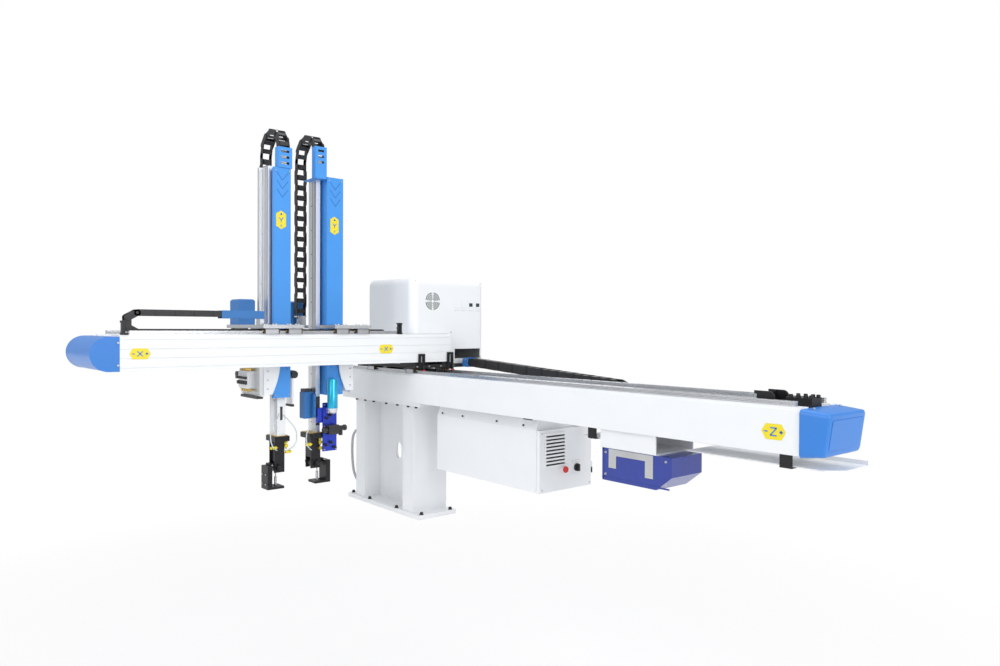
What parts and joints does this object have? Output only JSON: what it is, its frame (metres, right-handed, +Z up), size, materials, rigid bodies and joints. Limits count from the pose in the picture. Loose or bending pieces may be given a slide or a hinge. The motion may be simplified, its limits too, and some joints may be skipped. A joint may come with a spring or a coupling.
{
  "type": "in-mold labeling robot",
  "caption": "Gantry robot for in-mold labeling: pedestal, traverse beam, crosswise beam and two telescopic vertical arms with flip wrists, cable chains and cabinets.",
  "frame": {"origin": "centre of the pedestal's foot, on its underside", "axes": "+X along the traverse beam towards its end cover, +Y from the crosswise beam's free end towards the pedestal, +Z up"},
  "size_m": [3.2443, 2.158, 2.1193],
  "materials": {
    "white_paint": "satin",
    "ground_steel": "ground",
    "belt_rubber": "matt",
    "zinc_sheet": "zinc plated",
    "black_paint": "satin",
    "blue_paint": "satin",
    "red_plastic": "gloss",
    "black_plastic": "moulded",
    "indigo_paint": "gloss",
    "grey_hose": "corrugated",
    "chain_plastic": "moulded",
    "clear_anodised": "anodised",
    "blue_anodised": "anodised"
  },
  "bodies": {
    "base": {"pedestal": "white_paint", "traverse_beam": "white_paint", "traverse_rails": "ground_steel", "traverse_belt": "belt_rubber", "belt_clamps": "zinc_sheet", "traverse_end_stops": "black_paint", "beam_end_cover": "blue_paint", "chain_trough": "white_paint", "control_cabinet": "white_paint", "door_hinges": "black_paint", "instrument_hanger": "white_paint", "generator_clamp": "zinc_sheet", "static_generator": "indigo_paint", "cable_tray": "white_paint", "tray_brackets": "black_paint", "pedestal_conduit": "grey_hose", "conduit_glands": "black_plastic"},
    "cabinet_door": {"cabinet_door": "white_paint"},
    "stop_button": {"stop_button": "red_plastic"},
    "switch_knob": {"switch_knob": "black_plastic"},
    "traverse_carriage": {"traverse_carriage_plate": "black_paint", "traverse_guide_blocks": "ground_steel", "traverse_motor": "black_paint", "cross_beam": "white_paint", "cross_rails": "ground_steel", "cross_end_stops": "black_paint", "cross_end_cover": "blue_paint", "electrical_box": "white_paint", "box_gauges": "black_plastic", "chain_bracket": "blue_paint", "rail_scrapers": "black_paint", "traverse_chain_upper": "chain_plastic"},
    "traverse_chain_loop": {"traverse_chain_loop": "chain_plastic"},
    "cross_chain_loop": {"cross_chain_loop": "chain_plastic"},
    "sub_carriage": {"sub_carriage_plate": "zinc_sheet", "sub_cheek_bracket": "black_paint", "sub_guide_blocks": "ground_steel", "sub_motor_cover": "blue_paint", "sub_chain_fixed_leg": "chain_plastic", "cross_chain_upper": "chain_plastic"},
    "sub_stage1": {"sub_inner_profile": "clear_anodised", "sub_chain_loop": "chain_plastic"},
    "sub_stage2": {"sub_outer_tube": "clear_anodised", "sub_cover": "blue_paint", "sub_chain_bracket": "blue_paint", "sub_wrist": "clear_anodised"},
    "sub_gripper": {"sub_gripper_bracket": "black_paint"},
    "main_carriage": {"main_carriage_plate": "zinc_sheet", "main_cheek_bracket": "black_paint", "main_guide_blocks": "ground_steel", "main_motor_cover": "blue_paint", "main_chain_fixed_leg": "chain_plastic"},
    "main_stage1": {"main_inner_profile": "clear_anodised", "main_cover": "blue_paint", "main_chain_loop": "chain_plastic"},
    "main_stage2": {"main_outer_profile": "clear_anodised", "main_chain_bracket": "blue_paint", "main_wrist": "clear_anodised", "main_vacuum_unit": "blue_anodised"},
    "main_gripper": {"main_gripper_bracket": "black_paint"}
  },
  "joints": [
    {"name": "door_swing", "type": "hinge", "parent": "base", "child": "cabinet_door", "pos_m": [1.2865, 0.3045, 0.45], "axis": [0, 0, 1], "range_deg": [0, 110]},
    {"name": "button_press", "type": "slide", "parent": "cabinet_door", "child": "stop_button", "axis": [-1, 0, 0], "range_m": [0, 0.005], "stiffness_N_per_m": 600, "springref_m": -0.004},
    {"name": "switch_turn", "type": "hinge", "parent": "cabinet_door", "child": "switch_knob", "pos_m": [1.31, 0.184, 0.392], "axis": [-1, 0, 0], "range_deg": [0, 90]},
    {"name": "traverse_travel", "type": "slide", "parent": "base", "child": "traverse_carriage", "axis": [1, 0, 0], "range_m": [0, 2], "deforming": ["traverse_chain_upper"]},
    {"name": "traverse_chain_roll", "type": "slide", "parent": "base", "child": "traverse_chain_loop", "axis": [1, 0, 0], "range_m": [0, 1]},
    {"name": "sub_travel", "type": "slide", "parent": "traverse_carriage", "child": "sub_carriage", "axis": [0, 1, 0], "range_m": [-0.3, 0], "deforming": ["cross_chain_upper"]},
    {"name": "cross_chain_roll", "type": "slide", "parent": "traverse_carriage", "child": "cross_chain_loop", "axis": [0, 1, 0], "range_m": [-0.15, 0]},
    {"name": "main_travel", "type": "slide", "parent": "traverse_carriage", "child": "main_carriage", "axis": [0, 1, 0], "range_m": [0, 0.17]},
    {"name": "sub_lower_first", "type": "slide", "parent": "sub_carriage", "child": "sub_stage1", "axis": [0, 0, -1], "range_m": [0, 0.55], "deforming": ["sub_chain_fixed_leg"]},
    {"name": "sub_lower_second", "type": "slide", "parent": "sub_stage1", "child": "sub_stage2", "axis": [0, 0, -1], "range_m": [0, 0.55]},
    {"name": "sub_flip", "type": "hinge", "parent": "sub_stage2", "child": "sub_gripper", "pos_m": [0.103, -0.835, 0.34], "axis": [1, 0, 0], "range_deg": [0, 90]},
    {"name": "main_lower_first", "type": "slide", "parent": "main_carriage", "child": "main_stage1", "axis": [0, 0, -1], "range_m": [0, 0.55], "deforming": ["main_chain_fixed_leg"]},
    {"name": "main_lower_second", "type": "slide", "parent": "main_stage1", "child": "main_stage2", "axis": [0, 0, -1], "range_m": [0, 0.55]},
    {"name": "main_flip", "type": "hinge", "parent": "main_stage2", "child": "main_gripper", "pos_m": [0.103, -0.6205, 0.34], "axis": [-1, 0, 0], "range_deg": [0, 90]}
  ],
  "couplings": [
    {"joint": "traverse_chain_roll", "follows": "traverse_travel", "ratio": 0.5},
    {"joint": "cross_chain_roll", "follows": "sub_travel", "ratio": 0.5},
    {"joint": "sub_lower_second", "follows": "sub_lower_first", "ratio": 1},
    {"joint": "main_lower_second", "follows": "main_lower_first", "ratio": 1}
  ]
}
